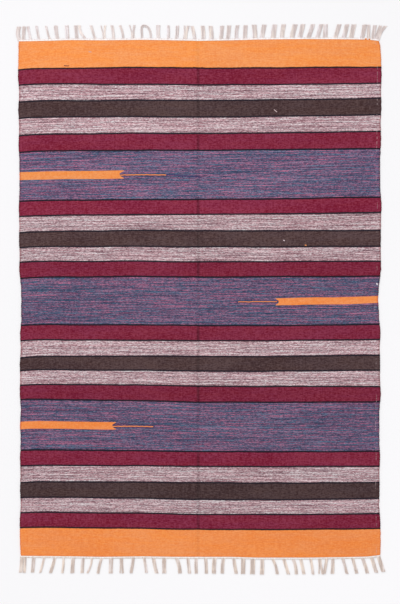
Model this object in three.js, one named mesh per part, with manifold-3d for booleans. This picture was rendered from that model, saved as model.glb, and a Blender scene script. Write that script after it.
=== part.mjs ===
// A flat-woven kilim rug, 1400 by 2000 mm without its tassels, lying flat on a floor. It is one woven
// panel and, beyond each end of it, a narrow heading of undyed cotton with the warp ends drawn out of
// it into tassels. Units are millimetres: +X runs across the rug, +Y to its far end and +Z up. The
// origin is on the floor, under the middle of the whole rug, tassels included.

import * as THREE from 'three';
import Module from 'manifold-3d';

// The cloth
const WIDTH = 1400;
const LENGTH = 2000;
const THICKNESS = 4;
const SELVEDGE_HEIGHT = 2.6;
const SELVEDGE_ROUNDING = 4;

// The fold line down the middle, left by storing the rug folded in half
const FOLD_AT = -7;
const FOLD_HALF_WIDTH = 16;
const FOLD_DEPTH = 1.6;
const FOLD_STEPS = 2;

// The bands of yarn from the far end to the near one: the length of rug that each takes, and how far
// its left and right selvedges stand out beyond the nominal width
const BANDS = [
  { yarn: 'orange', run: 109, left: 4, right: 2 },
  { yarn: 'maroon', run: 61, left: 6, right: 5 },
  { yarn: 'pink', run: 64, left: 1, right: 2 },
  { yarn: 'brown', run: 61, left: 5, right: 4 },
  { yarn: 'pink', run: 67, left: 1, right: 1 },
  { yarn: 'maroon', run: 64, left: 4, right: 3 },
  { yarn: 'violet', run: 192, left: 0, right: -1 },
  { yarn: 'maroon', run: 56, left: 3, right: 5 },
  { yarn: 'pink', run: 66, left: 0, right: 2 },
  { yarn: 'brown', run: 59, left: 2, right: 2 },
  { yarn: 'pink', run: 60, left: -1, right: 1 },
  { yarn: 'maroon', run: 57, left: 1, right: 3 },
  { yarn: 'violet', run: 188, left: -6, right: -5 },
  { yarn: 'maroon', run: 57, left: -2, right: 1 },
  { yarn: 'pink', run: 64, left: -5, right: -3 },
  { yarn: 'brown', run: 52, left: -1, right: -1 },
  { yarn: 'pink', run: 61, left: -3, right: -2 },
  { yarn: 'maroon', run: 58, left: -1, right: 2 },
  { yarn: 'violet', run: 195, left: -3, right: -3 },
  { yarn: 'maroon', run: 56, left: -2, right: -1 },
  { yarn: 'pink', run: 66, left: -4, right: -4 },
  { yarn: 'brown', run: 60, left: -2, right: -3 },
  { yarn: 'pink', run: 61, left: -5, right: -5 },
  { yarn: 'maroon', run: 56, left: -1, right: 0 },
  { yarn: 'orange', run: 110, left: -2, right: 1 },
];
const FAR_CORNERS = { left: 3, right: -8 };
const NEAR_CORNERS = { left: -3, right: -5 };
const LONG_BAND = 150;

// How far each end of the cloth bows out beyond the nominal length, at places across the rug
const ENDS = [
  { across: -700, far: -5, near: -4 },
  { across: -600, far: -3, near: -3 },
  { across: -500, far: 0, near: -2 },
  { across: -380, far: -1, near: 0 },
  { across: -220, far: 1, near: -2 },
  { across: -100, far: -1, near: 0 },
  { across: 0, far: -3, near: 0 },
  { across: 120, far: -1, near: 0 },
  { across: 220, far: 2, near: 3 },
  { across: 420, far: 4, near: 3 },
  { across: 560, far: 3, near: 1 },
  { across: 650, far: 2, near: -1 },
  { across: 700, far: -4, near: -7 },
];

// The headings and their tassels
const CLEARANCE = 0.3;
const HEADING_WIDTH = 6.5;
const HEADING_HEIGHT = 3.2;
const HEADING_TOP_INSET = 0.8;
const ROOT_DEPTH = 3;
const FAR_REACH = 50;
const NEAR_REACH = 56;
const REACH_SPREAD = 2;
const LOCK_STEPS = 3;
const LOCK_ROOT = { width: 4.2, height: 2.8, apart: 5.2 };
const LOCK_TIP = { width: 3, height: 1.9, apart: 5.6 };
const LOCK_TOP_SHARE = 0.6;
const SWAY = 1.5;
const FRAY = 0.3;

// Tassels that lie alike, from left to right: how many there are, where the first and last are
// rooted, how far the tips of the first and last lean to the right, and the locks in each tassel
const FAR_TASSELS = [
  { count: 2, from: -695, to: -677, lean: 0, leanTo: 2, locks: 2 },
  { count: 4, from: -655, to: -552, lean: -11, leanTo: -10, locks: 3 },
  { count: 2, from: -514, to: -478, lean: -4, leanTo: -6, locks: 3 },
  { count: 2, from: -442, to: -404, lean: -25, leanTo: -20, locks: 3 },
  { count: 3, from: -369, to: -301, lean: -8, leanTo: -6, locks: 3 },
  { count: 1, from: -258, to: -258, lean: -4, leanTo: -4, locks: 3 },
  { count: 3, from: -161, to: -93, lean: -1, leanTo: 5, locks: 3 },
  { count: 2, from: -55, to: -21, lean: 4, leanTo: -7, locks: 3 },
  { count: 2, from: 12, to: 43, lean: 0, leanTo: -2, locks: 3 },
  { count: 3, from: 79, to: 135, lean: 6, leanTo: 8, locks: 3 },
  { count: 2, from: 173, to: 210, lean: 4, leanTo: 2, locks: 3 },
  { count: 7, from: 239, to: 453, lean: 12, leanTo: 18, locks: 3 },
  { count: 1, from: 485, to: 485, lean: 1, leanTo: 1, locks: 3 },
  { count: 4, from: 523, to: 626, lean: 16, leanTo: 13, locks: 3 },
  { count: 2, from: 650, to: 666, lean: -4, leanTo: 3, locks: 2 },
  { count: 1, from: 684, to: 684, lean: 20, leanTo: 20, locks: 3 },
];
const NEAR_TASSELS = [
  { count: 2, from: -690, to: -674, lean: -4, leanTo: -3, locks: 2 },
  { count: 3, from: -643, to: -566, lean: -9, leanTo: -17, locks: 3 },
  { count: 3, from: -528, to: -456, lean: -5, leanTo: -2, locks: 3 },
  { count: 2, from: -417, to: -386, lean: -20, leanTo: -9, locks: 3 },
  { count: 3, from: -344, to: -263, lean: 1, leanTo: -5, locks: 3 },
  { count: 2, from: -216, to: -179, lean: 7, leanTo: 9, locks: 3 },
  { count: 1, from: -139, to: -139, lean: 0, leanTo: 0, locks: 3 },
  { count: 3, from: -89, to: -16, lean: 12, leanTo: 4, locks: 3 },
  { count: 3, from: 21, to: 89, lean: 2, leanTo: -5, locks: 3 },
  { count: 1, from: 131, to: 131, lean: 8, leanTo: 8, locks: 3 },
  { count: 3, from: 167, to: 240, lean: -3, leanTo: 0, locks: 3 },
  { count: 4, from: 286, to: 392, lean: 17, leanTo: 13, locks: 3 },
  { count: 2, from: 428, to: 461, lean: 10, leanTo: 3, locks: 3 },
  { count: 2, from: 490, to: 516, lean: -6, leanTo: -3, locks: 3 },
  { count: 4, from: 555, to: 663, lean: 13, leanTo: 17, locks: 3 },
  { count: 1, from: 685, to: 685, lean: 17, leanTo: 17, locks: 3 },
];

// One uncut loop of warp among the far tassels
const LOOP = { from: -224, to: -190, reach: 47, width: 5, height: 2.6, steps: 9 };

const COTTON = { color: 0xd7c8bc, roughness: 0.95, metalness: 0 };
const WOVEN = { color: 0x83505a, roughness: 0.95, metalness: 0 };

const wasm = await Module();
wasm.setup();

// A column of a table at a place between its rows
function read(table, key, column, place) {
  const next = table.findIndex((row) => row[key] >= place);
  if (next === 0) return table[0][column];
  if (next < 0) return table[table.length - 1][column];
  const [a, b] = [table[next - 1], table[next]];
  return THREE.MathUtils.mapLinear(place, a[key], b[key], a[column], b[column]);
}

// Where the selvedges run, as a table down the rug: each band's own draw-in at its middle
function selvedgeTable() {
  const table = [{ down: 0, ...FAR_CORNERS }];
  let start = 0;
  for (const { run, left, right } of BANDS) {
    const inset = run > LONG_BAND ? run / 5 : run / 2;
    table.push({ down: start + inset, left, right });
    if (run > LONG_BAND) table.push({ down: start + run - inset, left, right });
    start += run;
  }
  table.push({ down: LENGTH, ...NEAR_CORNERS });
  return table;
}
const SELVEDGES = selvedgeTable();

// The height of the cloth's top face, which dips along the fold line
function topHeight(x) {
  const reach = Math.min(Math.abs(x - FOLD_AT) / FOLD_HALF_WIDTH, 1);
  return THICKNESS - (FOLD_DEPTH * (1 + Math.cos(Math.PI * reach))) / 2;
}

// The places across the rug where the cloth has a line of points, between its selvedges
function innerColumns() {
  const columns = ENDS.slice(1, -1)
    .map((row) => row.across)
    .filter((x) => Math.abs(x - FOLD_AT) > FOLD_HALF_WIDTH);
  for (let step = -FOLD_STEPS; step <= FOLD_STEPS; step++) {
    columns.push(FOLD_AT + (step * FOLD_HALF_WIDTH) / FOLD_STEPS);
  }
  return columns.sort((a, b) => a - b);
}
const COLUMNS = innerColumns();

// One row of points on the cloth's top face, at a distance down the rug from its far end
function clothRow({ down, left, right }) {
  const [leftEdge, rightEdge] = [-WIDTH / 2 - left, WIDTH / 2 + right];
  const farShare = Math.max(0, 1 - down / BANDS[0].run);
  const nearShare = Math.max(0, 1 - (LENGTH - down) / BANDS.at(-1).run);
  const point = (x, height) => {
    const bow = farShare * read(ENDS, 'across', 'far', x) - nearShare * read(ENDS, 'across', 'near', x);
    return new THREE.Vector3(x, LENGTH / 2 - down + bow, height);
  };
  return [
    point(leftEdge, SELVEDGE_HEIGHT),
    point(leftEdge + SELVEDGE_ROUNDING, THICKNESS),
    ...COLUMNS.map((x) => point(x, topHeight(x))),
    point(rightEdge - SELVEDGE_ROUNDING, THICKNESS),
    point(rightEdge, SELVEDGE_HEIGHT),
  ];
}

// A closed geometry from its points and triangles
function geometryOf(points, triangles) {
  const geometry = new THREE.BufferGeometry();
  geometry.setFromPoints(points);
  geometry.setIndex(triangles.flat());
  return geometry;
}

// A closed slab under a grid of points, with a flat underside on the floor. The rows run from the far
// end to the near one, and each row from left to right.
function slab(rows) {
  const top = rows.flat();
  const under = top.map(({ x, y }) => new THREE.Vector3(x, y, 0));
  const wide = rows[0].length;
  const at = (row, column) => row * wide + column;
  const triangles = [];
  const quad = (a, b, c, d) => triangles.push([a, b, c], [a, c, d]);
  for (let row = 0; row + 1 < rows.length; row++) {
    for (let column = 0; column + 1 < wide; column++) {
      const corners = [at(row, column), at(row + 1, column), at(row + 1, column + 1), at(row, column + 1)];
      quad(...corners);
      quad(...corners.map((corner) => corner + top.length).reverse());
    }
  }
  const wall = (a, b) => quad(a, a + top.length, b + top.length, b);
  for (let column = 0; column + 1 < wide; column++) {
    wall(at(0, column + 1), at(0, column));
    wall(at(rows.length - 1, column), at(rows.length - 1, column + 1));
  }
  for (let row = 0; row + 1 < rows.length; row++) {
    wall(at(row, 0), at(row + 1, 0));
    wall(at(row + 1, wide - 1), at(row, wide - 1));
  }
  return geometryOf([...top, ...under], triangles);
}

// A closed strand through four-sided sections. Seen along the strand, each section starts at its
// bottom left and goes round by its bottom right.
function strand(sections) {
  const triangles = [
    [0, 1, 2],
    [0, 2, 3],
  ];
  for (let step = 0; step + 1 < sections.length; step++) {
    for (let side = 0; side < 4; side++) {
      const [a, b] = [4 * step + side, 4 * step + ((side + 1) % 4)];
      triangles.push([a, a + 4, b + 4], [a, b + 4, b]);
    }
  }
  const last = 4 * (sections.length - 1);
  triangles.push([last, last + 2, last + 1], [last, last + 3, last + 2]);
  return geometryOf(sections.flat(), triangles);
}

// A section lying on the floor across a strand's direction, narrower at its top than at its foot
function flatSection(centre, direction, width, height) {
  const side = new THREE.Vector3(-direction.y, direction.x, 0).normalize();
  const foot = (share) => centre.clone().addScaledVector(side, share * width);
  const crown = (share) => foot(share * LOCK_TOP_SHARE).setZ(height);
  return [foot(0.5), foot(-0.5), crown(-0.5), crown(0.5)];
}

// A strand along a path of places, each with its own width and height
function strandAlong(path) {
  return strand(
    path.map((place, step) => {
      const before = path[Math.max(step - 1, 0)].at;
      const after = path[Math.min(step + 1, path.length - 1)].at;
      return flatSection(place.at, after.clone().sub(before), place.width, place.height);
    }),
  );
}

// Unevenness from -1 to 1 that is the same each time for the same number
function uneven(number) {
  const spun = Math.sin(number * 12.9898) * 43758.5453;
  return 2 * (spun - Math.floor(spun)) - 1;
}

// One end of the rug: which way it points, how its cloth bows, its corners and its tassels
const FAR = { name: 'far', way: 1, reach: FAR_REACH, corners: FAR_CORNERS, tassels: FAR_TASSELS, seed: 1 };
const NEAR = { name: 'near', way: -1, reach: NEAR_REACH, corners: NEAR_CORNERS, tassels: NEAR_TASSELS, seed: 500 };

// The edge of a heading, a distance beyond the end of the cloth
function headingEdge(end, x, beyond) {
  return end.way * (LENGTH / 2 + read(ENDS, 'across', end.name, x) + CLEARANCE + beyond);
}

// The heading: a low strip of cotton picks along the end of the cloth
function heading(end) {
  const { left, right } = end.corners;
  const line = [
    -WIDTH / 2 - left,
    -WIDTH / 2 - left + SELVEDGE_ROUNDING,
    ...COLUMNS,
    WIDTH / 2 + right - SELVEDGE_ROUNDING,
    WIDTH / 2 + right,
  ];
  const sections = line.map((x) => {
    const point = (beyond, z) => new THREE.Vector3(x, headingEdge(end, x, beyond), z);
    const ring = [
      point(0, 0),
      point(HEADING_WIDTH, 0),
      point(HEADING_WIDTH - HEADING_TOP_INSET, HEADING_HEIGHT),
      point(0, HEADING_HEIGHT),
    ];
    return end.way > 0 ? [ring[1], ring[0], ring[3], ring[2]] : ring;
  });
  return strand(sections);
}

// The tassels of an end, each with its own root, lean and sway
function tasselsOf(end) {
  return end.tassels.flatMap(({ count, from, to, lean, leanTo, locks }) =>
    Array.from({ length: count }, (_, n) => {
      const share = count > 1 ? n / (count - 1) : 0;
      const root = THREE.MathUtils.lerp(from, to, share);
      return {
        root,
        lean: THREE.MathUtils.lerp(lean, leanTo, share),
        sway: SWAY * uneven(root),
        locks,
      };
    }),
  );
}

// One lock of a tassel: rooted in the heading, swaying with its tassel and lying flat to its thinner
// tip
function lock(end, tassel, place, seed) {
  const start = headingEdge(end, tassel.root, HEADING_WIDTH - ROOT_DEPTH);
  const reach = ROOT_DEPTH + end.reach + REACH_SPREAD * uneven(seed);
  const sway = tassel.sway + FRAY * uneven(seed + 0.5);
  const path = [];
  for (let step = 0; step <= LOCK_STEPS; step++) {
    const share = step / LOCK_STEPS;
    const apart = THREE.MathUtils.lerp(LOCK_ROOT.apart, LOCK_TIP.apart, share);
    const x = tassel.root + place * apart + tassel.lean * share + sway * Math.sin(Math.PI * share);
    path.push({
      at: new THREE.Vector3(x, start + end.way * reach * share, 0),
      width: THREE.MathUtils.lerp(LOCK_ROOT.width, LOCK_TIP.width, share),
      height: THREE.MathUtils.lerp(LOCK_ROOT.height, LOCK_TIP.height, share),
    });
  }
  return strandAlong(path);
}

// The uncut loop: up from the heading, round a half circle and back into the heading
function loop(end) {
  const radius = (LOOP.to - LOOP.from) / 2;
  const middle = LOOP.from + radius;
  const start = headingEdge(end, middle, HEADING_WIDTH - ROOT_DEPTH);
  const straight = ROOT_DEPTH + LOOP.reach - radius - LOOP.width / 2;
  const place = (x, y) => ({
    at: new THREE.Vector3(x, start + end.way * y, 0),
    width: LOOP.width,
    height: LOOP.height,
  });
  const path = [place(LOOP.from, 0)];
  for (let step = 0; step <= LOOP.steps; step++) {
    const angle = Math.PI * (1 - step / LOOP.steps);
    path.push(place(middle + radius * Math.cos(angle), straight + radius * Math.sin(angle)));
  }
  path.push(place(LOOP.to, 0));
  return strandAlong(path);
}

// A solid that can be joined, from a closed geometry
function solidOf(geometry) {
  return new wasm.Manifold(
    new wasm.Mesh({
      numProp: 3,
      vertProperties: new Float32Array(geometry.attributes.position.array),
      triVerts: new Uint32Array(geometry.index.array),
    }),
  );
}

// The joined solid of several closed geometries, as one geometry
function joined(geometries) {
  const whole = geometries.map(solidOf).reduce((sum, solid) => sum.add(solid));
  const { vertProperties, triVerts } = whole.getMesh();
  const geometry = new THREE.BufferGeometry();
  geometry.setAttribute('position', new THREE.BufferAttribute(new Float32Array(vertProperties), 3));
  geometry.setIndex(new THREE.BufferAttribute(new Uint32Array(triVerts), 1));
  return geometry;
}

// A heading with all its locks fused to it
function fringe(end, extras = []) {
  const locks = tasselsOf(end).flatMap((tassel, n) =>
    Array.from({ length: tassel.locks }, (_, k) => {
      const place = k - (tassel.locks - 1) / 2;
      return lock(end, tassel, place, end.seed + 3 * n + k);
    }),
  );
  return joined([heading(end), ...locks, ...extras]);
}

function named(name, geometry, finish) {
  const mesh = new THREE.Mesh(geometry, new THREE.MeshStandardMaterial(finish));
  mesh.name = name;
  return mesh;
}

const rug = new THREE.Group();
rug.add(named('panel', slab(SELVEDGES.map(clothRow)), WOVEN));
rug.add(named('fringe_far', fringe(FAR, [loop(FAR)]), COTTON));
rug.add(named('fringe_near', fringe(NEAR), COTTON));

// The tassels reach further on one side than on the other, so the whole is centred on the origin
const middle = new THREE.Box3().setFromObject(rug).getCenter(new THREE.Vector3());
rug.position.set(-middle.x, -middle.y, 0);

export default rug;
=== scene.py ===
# %% [markdown]
# # A striped kilim rug
#
# A kilim is woven flat, with no pile. Strong undyed cotton warps run down the rug, and coloured wefts
# cross them and are beaten down so hard that no warp shows on the face. What shows is a skin of small
# beads, one wherever a weft passes over a warp, in bands of one yarn each. At both ends a few picks of
# plain cotton lock the weave, and the warps hang out of them as tassels.
#
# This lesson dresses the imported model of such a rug. It loads the fixed frame, lays a finely divided
# cloth where the frame has its plain slab, and gives each end a heading and tassels of spun cotton.

# %% Load the fixed frame
import math

import bpy
import numpy as np
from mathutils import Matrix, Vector, noise


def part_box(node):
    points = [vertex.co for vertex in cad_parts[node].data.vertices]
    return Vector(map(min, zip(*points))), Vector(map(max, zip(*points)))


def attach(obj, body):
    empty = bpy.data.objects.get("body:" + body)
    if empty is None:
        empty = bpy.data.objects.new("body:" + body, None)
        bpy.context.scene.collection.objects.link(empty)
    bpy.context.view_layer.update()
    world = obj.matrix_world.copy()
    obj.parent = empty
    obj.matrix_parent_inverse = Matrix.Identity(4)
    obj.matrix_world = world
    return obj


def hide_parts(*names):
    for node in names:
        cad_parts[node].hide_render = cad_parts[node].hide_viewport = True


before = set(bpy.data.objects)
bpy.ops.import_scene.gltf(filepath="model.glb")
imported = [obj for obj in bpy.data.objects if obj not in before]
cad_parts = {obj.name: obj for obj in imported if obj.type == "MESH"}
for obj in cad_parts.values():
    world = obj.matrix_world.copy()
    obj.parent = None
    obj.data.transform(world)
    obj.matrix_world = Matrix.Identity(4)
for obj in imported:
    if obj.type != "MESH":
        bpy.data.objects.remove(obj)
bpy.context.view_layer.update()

# %% [markdown]
# ## One origin for all the sizes
#
# A weaver measures from the middle of the cloth, and in millimetres. The frame is in metres, and its
# origin is under the middle of the whole rug with its tassels, which reach further on one side than on
# the other. So the cloth's middle is found once, from the box of the frame's panel, and `place` turns
# the weaver's sizes into points of the frame.

# %% From the cloth's own millimetres to the frame
MM = 0.001
WIDTH, LENGTH, THICKNESS = 1400, 2000, 4

panel_low, panel_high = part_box("panel")
# The selvedges stand out by up to 6 mm on the left and 5 on the right, the ends by 4 mm and 3
cloth_middle = (panel_low + panel_high) / 2 + Vector((0.5, -0.5, 0)) * MM


def place(x, y, z=0.0):
    """A point of the frame, in metres, from millimetres off the cloth's middle."""
    return Vector((cloth_middle.x + x * MM, cloth_middle.y + y * MM, z * MM))


print("middle of the cloth:", [round(x / MM, 2) for x in cloth_middle[:2]], "mm")

# %% [markdown]
# ## The camera
#
# The photograph looks straight down on the rug, with almost no perspective. A long lens from high up
# gives that view. One pixel of the photograph shows 3.874 mm of floor, and its middle lies a little
# towards the near end, so the picture's height gives the camera's height.

# %% Camera
PIXEL = 3.874
PICTURE_HEIGHT = 604
LENS, SENSOR = 135, 36

camera_height = PICTURE_HEIGHT * PIXEL * LENS / SENSOR
bpy.ops.object.camera_add(location=place(0.4, -13.8, camera_height), rotation=(0, 0, 0))
camera = bpy.context.object
camera.data.lens = LENS
camera.data.sensor_width = SENSOR
camera.data.clip_end = 100
bpy.context.scene.camera = camera
print("camera stands", round(camera.location.z, 2), "m above the floor")

# %% [markdown]
# ## Light and floor
#
# A rug is photographed under broad soft light, so that no glare hides the weave. Here the sky gives
# most of the light, and one large soft light beyond the far left corner adds the rest. It does two
# things: it makes the far end a little brighter than the near one, and it comes in low enough to draw
# the ribs and the fold. The floor is plain and pale. It is a shade paler towards the near right, where
# less light falls, so that it looks one even white.

# %% Light and floor
SKY_STRENGTH, LIGHT_WATTS, LIGHT_SIDE = 0.78, 230, 2.4

scene = bpy.context.scene
scene.view_settings.view_transform = "Standard"

world = bpy.data.worlds.new("studio")
world.use_nodes = True
world.node_tree.nodes["Background"].inputs["Color"].default_value = (1.0, 1.0, 1.0, 1)
world.node_tree.nodes["Background"].inputs["Strength"].default_value = SKY_STRENGTH
scene.world = world

bpy.ops.object.light_add(type="AREA", location=(-1.7, 4.0, 5.0))
soft_light = bpy.context.object
soft_light.data.shape = "SQUARE"
soft_light.data.size = LIGHT_SIDE
soft_light.data.energy = LIGHT_WATTS
soft_light.rotation_euler = (-soft_light.location).to_track_quat("-Z", "Y").to_euler()

bpy.ops.object.select_all(action="DESELECT")
bpy.ops.mesh.primitive_plane_add(size=30, location=(0, 0, -0.0003))
floor = bpy.context.object
floor.name = "floor"
print("lit by", soft_light.data.size, "m of soft light and an even sky")

# %% [markdown]
# ## Shader sums as Python sums
#
# A woven finish is mostly arithmetic: which pick is this, how far is it to the next band, is this
# point inside a figure. Node by node that is slow to write and hard to read, so a small class wraps
# a socket and lets Python's operators add the Math nodes. Every other node comes from one method that
# takes its type, its settings and what goes into its sockets.

# %% A wrapped socket, and a material to wire up
class Wire:
    """A number that varies over a surface; sums on it add Math nodes to its material."""

    def __init__(self, finish, socket):
        self.finish, self.socket = finish, socket

    def __add__(self, other): return self.finish.maths("ADD", self, other)
    def __radd__(self, other): return self.finish.maths("ADD", other, self)
    def __sub__(self, other): return self.finish.maths("SUBTRACT", self, other)
    def __rsub__(self, other): return self.finish.maths("SUBTRACT", other, self)
    def __mul__(self, other): return self.finish.maths("MULTIPLY", self, other)
    def __rmul__(self, other): return self.finish.maths("MULTIPLY", other, self)
    def __truediv__(self, other): return self.finish.maths("DIVIDE", self, other)
    def __lt__(self, other): return self.finish.maths("LESS_THAN", self, other)
    def __gt__(self, other): return self.finish.maths("GREATER_THAN", self, other)
    def __abs__(self): return self.finish.maths("ABSOLUTE", self)


class Finish:
    """A material, and the nodes that feed its Principled shader."""

    def __init__(self, name, roughness):
        self.material = bpy.data.materials.new(name)
        self.material.use_nodes = True
        self.tree = self.material.node_tree
        self.shader = self.tree.nodes["Principled BSDF"]
        self.shader.inputs["Specular IOR Level"].default_value = 0.2
        self.shader.inputs["Roughness"].default_value = roughness

    def feed(self, socket, value):
        if isinstance(value, Wire):
            self.tree.links.new(value.socket, socket)
        else:
            socket.default_value = value[:3] if socket.type == "VECTOR" else value

    def node(self, kind, settings=None, sockets=None, output=0):
        made = self.tree.nodes.new(kind)
        for name, value in (settings or {}).items():
            if name == "stops":
                while len(made.color_ramp.elements) < len(value):
                    made.color_ramp.elements.new(1.0)
                for stop, (at, colour) in zip(made.color_ramp.elements, value):
                    stop.position, stop.color = at, colour
            else:
                setattr(made, name, value)
        for name, value in (sockets or {}).items():
            self.feed(made.inputs[name], value)
        return Wire(self, made.outputs[output])

    def maths(self, operation, *values):
        return self.node("ShaderNodeMath", {"operation": operation}, dict(enumerate(values)))

    def clear(self, value):
        """The value, kept between 0 and 1."""
        return self.node("ShaderNodeMath", {"operation": "ADD", "use_clamp": True}, {0: value, 1: 0.0})

    def mix(self, share, first, second):
        return self.node("ShaderNodeMix", {"data_type": "RGBA"}, {0: share, 6: first, 7: second}, 2)

    def scaled(self, colour, factor):
        return self.node("ShaderNodeVectorMath", {"operation": "SCALE"}, {0: colour, "Scale": factor})

    def times(self, first, second):
        return self.node("ShaderNodeVectorMath", {"operation": "MULTIPLY"}, {0: first, 1: second})

    def ramp(self, value, stops):
        return self.node("ShaderNodeValToRGB", {"stops": stops}, {"Fac": value})

    def attribute(self, name):
        return self.node("ShaderNodeAttribute", {"attribute_name": name}, output="Fac")

    def point(self, x, y, z=0.0):
        return self.node("ShaderNodeCombineXYZ", None, {"X": x, "Y": y, "Z": z})

    def parts(self, vector):
        made = self.node("ShaderNodeSeparateXYZ", None, {"Vector": vector}).socket.node
        return [Wire(self, made.outputs[axis]) for axis in "XYZ"]

    def cloud(self, x, y, detail=0.0, roughness=0.6):
        """Smooth noise about 0.5, one unit of x or y to a blotch."""
        sockets = {"Vector": self.point(x, y), "Scale": 1.0, "Detail": detail, "Roughness": roughness}
        return self.node("ShaderNodeTexNoise", {"noise_dimensions": "2D"}, sockets)

    def speck(self, x, y):
        """A number from 0 to 1 of each cell's own."""
        sockets = {"Vector": self.point(x, y)}
        return self.node("ShaderNodeTexWhiteNoise", {"noise_dimensions": "2D"}, sockets)

    def colour(self, value):
        self.feed(self.shader.inputs["Base Color"], value)

    def relief(self, height, depth):
        """Raises the surface by height, which is in units of depth metres."""
        bump = self.node("ShaderNodeBump", None, {"Strength": 1.0, "Distance": depth, "Height": height})
        self.feed(self.shader.inputs["Normal"], bump)


print("a Wire takes + - * / < > and abs")

# %% [markdown]
# A dyer names a shade by how it looks, so shades are written as the eye sees them on the finished rug,
# from 0 to 255. The shader wants the share of light that the yarn gives back, so `dye` undoes the
# screen's curve, and takes off what the studio's light adds.

# %% Dyes
LIGHT_LEVEL = 1.12
# The floor's shade at the far left, and how much paler it gets towards the right and the near end
FLOOR_SHADE, PALER_RIGHT, PALER_NEAR = 0.711, 0.06, 0.162


def dye(*shade):
    """A shader's colour for red, green and blue from 0 to 255."""
    shares = [((c / 255 + 0.055) / 1.055) ** 2.4 if c > 10 else c / 255 / 12.92 for c in shade]
    return (*[share / LIGHT_LEVEL for share in shares], 1.0)


def plain_floor():
    f = Finish("pale_floor", 0.9)
    x, y, _ = f.parts(f.node("ShaderNodeTexCoord", output="Object"))
    level = FLOOR_SHADE + f.clear(0.5 + x / 2) * PALER_RIGHT + f.clear(0.5 - y / 2.4) * PALER_NEAR
    level = level + f.cloud(x * 0.7, y * 0.7) * 0.01
    f.colour(f.scaled((1.0, 0.992, 1.01, 1), level))
    return f.material


floor.data.materials.append(plain_floor())
print("orange wool gives back", [round(c, 3) for c in dye(243, 148, 84)[:3]])

# %% [markdown]
# ## The bands
#
# The weaver's plan: which yarn, and for how many millimetres. Real picks don't lie dead straight, and
# each band draws the selvedges in or lets them out by its own few millimetres, so the plan also says
# how far the selvedges stand out beyond the nominal width, and how far down the rug the band's first
# pick has slipped at the left, in the middle and at the right. The cloth could have been one flat
# rectangle with stripes painted on it, but its uneven lines are what makes it look handwoven.

# %% The weaver's plan
ORANGE, MAROON, PINK, BROWN, VIOLET = range(5)
FOLD_SHADE_PAINT = (0.07, 0.38, 0.17, 0.26, 0.12)  # how much painted shade darkens each yarn in the fold

# Yarn, millimetres of rug, per cent lighter than its dye, how far the selvedges stand out at the left
# and the right, and how far the first pick has slipped at the left, in the middle and at the right
BANDS = [
    (ORANGE, 109, 0, 4, 2, 0, 0, 0),
    (MAROON, 61, -2, 6, 5, -1, 0, -4),
    (PINK, 64, -1, 1, 2, -5, 2, -5),
    (BROWN, 61, -2, 5, 4, -1, 0, -9),
    (PINK, 67, 2, 1, 1, -1, 1, -7),
    (MAROON, 64, 1, 4, 3, 1, 0, -7),
    (VIOLET, 192, 5, 0, -1, 1, -1, -7),
    (MAROON, 56, 8, 3, 5, 1, 0, -10),
    (PINK, 66, -4, 0, 2, 2, 0, -9),
    (BROWN, 59, 9, 2, 2, 1, -1, -2),
    (PINK, 60, -2, -1, 1, -3, 0, -2),
    (MAROON, 57, -6, 1, 3, -4, 0, -2),
    (VIOLET, 188, -3, -6, -5, 0, -1, -3),
    (MAROON, 57, -2, -2, 1, -5, 2, -3),
    (PINK, 64, 4, -5, -3, -5, 2, -4),
    (BROWN, 52, 1, -1, -1, -1, 1, -5),
    (PINK, 61, 2, -3, -2, -5, 3, 0),
    (MAROON, 58, -6, -1, 2, -7, 2, 4),
    (VIOLET, 195, -1, -5, -4, -12, 4, 2),
    (MAROON, 56, 4, -2, -1, -7, 3, 2),
    (PINK, 66, -2, -4, -4, -5, 3, 1),
    (BROWN, 60, -10, -2, -3, -4, 2, 1),
    (PINK, 61, 1, -5, -5, -9, 4, 0),
    (MAROON, 56, 2, -1, 0, -9, 3, 1),
    (ORANGE, 110, 0, -2, 1, -9, 3, -1),
]
# Inside the first two violet bands the picks slip too, where a figure is woven in
INNER_SLIPS = [(521, 3, -1, -7), (1011, -3, 5, -6)]
FAR_CORNERS, NEAR_CORNERS = (3, -6), (-6, -1)
LONG_BAND = 150  # a band longer than this has two places in the plan for its selvedges
# How far the picks droop at the left selvedge, at places down the rug, and how far in the droop reaches
DROOPS, DROOP_REACH = [(0, 9.5), (400, 8), (521, 2), (621, 6), (1400, 8), (1600, 6), (LENGTH, 5)], 60

# How far the two ends of the cloth bow outwards, at places across it
ENDS_ACROSS = (-700, -600, -500, -380, -220, -100, 0, 120, 220, 420, 560, 650, 700)
FAR_BOW = (-5, -3, 0, -1, 1, -1, -3, -1, 2, 4, 3, 2, -4)
NEAR_BOW = (-4, -3, -2, 0, -2, 0, 0, 0, 3, 3, 1, -1, -7)

starts = np.concatenate([[0], np.cumsum([band[1] for band in BANDS])])
print(len(BANDS), "bands,", starts[-1], "mm in all")

# %% [markdown]
# ## The mesh follows the picks
#
# The cloth is a thin sheet, and a pattern has to follow its picks wherever they wander. So the mesh is
# made the way the cloth is: each row of faces is one pair of picks, 4.2 mm high, and each band has a
# whole number of them. A UV map named `weave` then counts the picks down the rug and measures across
# it, and the colours are woven in that map, straight, while the mesh bends them.

# %% Rows of picks
PICK_PAIR = 4.2

rows_in = [round(run / PICK_PAIR) for _, run, *_ in BANDS]
first_row = np.concatenate([[0], np.cumsum(rows_in)])
ROWS = int(first_row[-1])
row_down = np.interp(np.arange(ROWS + 1), first_row, starts)


def pick_at(down):
    """The pick pair, counted from the far end, that lies at these millimetres down the rug."""
    return float(np.interp(down, starts, first_row))


print(ROWS, "pairs of picks, the first maroon one is number", first_row[1])

# %% [markdown]
# The selvedges and the slips are read off the plan at each row. A parabola through three values gives
# the slip of a pick at any place. The picks also droop by the left selvedge and rise a little left of
# the fold, and Perlin noise adds the small wander that no plan has.

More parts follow.
